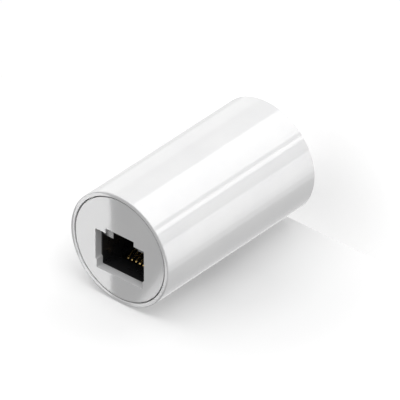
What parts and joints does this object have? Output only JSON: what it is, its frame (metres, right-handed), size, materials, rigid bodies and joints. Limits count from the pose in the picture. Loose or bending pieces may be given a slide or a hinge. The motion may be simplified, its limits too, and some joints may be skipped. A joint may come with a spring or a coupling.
{
  "type": "rj45 inline coupler",
  "caption": "Round white inline coupler with a latching modular network socket at each end, which joins patch cords end to end.",
  "frame": {"origin": "centre of the lower end, on the surface that the coupler stands on", "axes": "+Z along the tube from the rear end to the front end; the latch side of both jacks faces -Y, their contacts are on the +Y side"},
  "size_m": [0.025, 0.025, 0.044],
  "materials": {
    "sleeve_white": "polished white moulded plastic",
    "cap_white": "satin white moulded plastic",
    "jack_black": "black moulded plastic, slightly glossy",
    "carrier_black": "black glass-filled plastic, matt",
    "contact_gold": "gold-plated spring strip",
    "board_green": "green solder mask on glass-fibre laminate",
    "solder": "bright tin solder"
  },
  "bodies": {
    "root": {"outer_sleeve": "sleeve_white", "circuit_board": "board_green", "front_end_cap": "cap_white", "front_jack_housing": "jack_black", "front_contact_carrier": "carrier_black", "front_solder_joints": "solder", "front_contact_1": "contact_gold", "front_contact_2": "contact_gold", "front_contact_3": "contact_gold", "front_contact_4": "contact_gold", "front_contact_5": "contact_gold", "front_contact_6": "contact_gold", "front_contact_7": "contact_gold", "front_contact_8": "contact_gold", "rear_end_cap": "cap_white", "rear_jack_housing": "jack_black", "rear_contact_carrier": "carrier_black", "rear_solder_joints": "solder", "rear_contact_1": "contact_gold", "rear_contact_2": "contact_gold", "rear_contact_3": "contact_gold", "rear_contact_4": "contact_gold", "rear_contact_5": "contact_gold", "rear_contact_6": "contact_gold", "rear_contact_7": "contact_gold", "rear_contact_8": "contact_gold"}
  },
  "joints": []
}
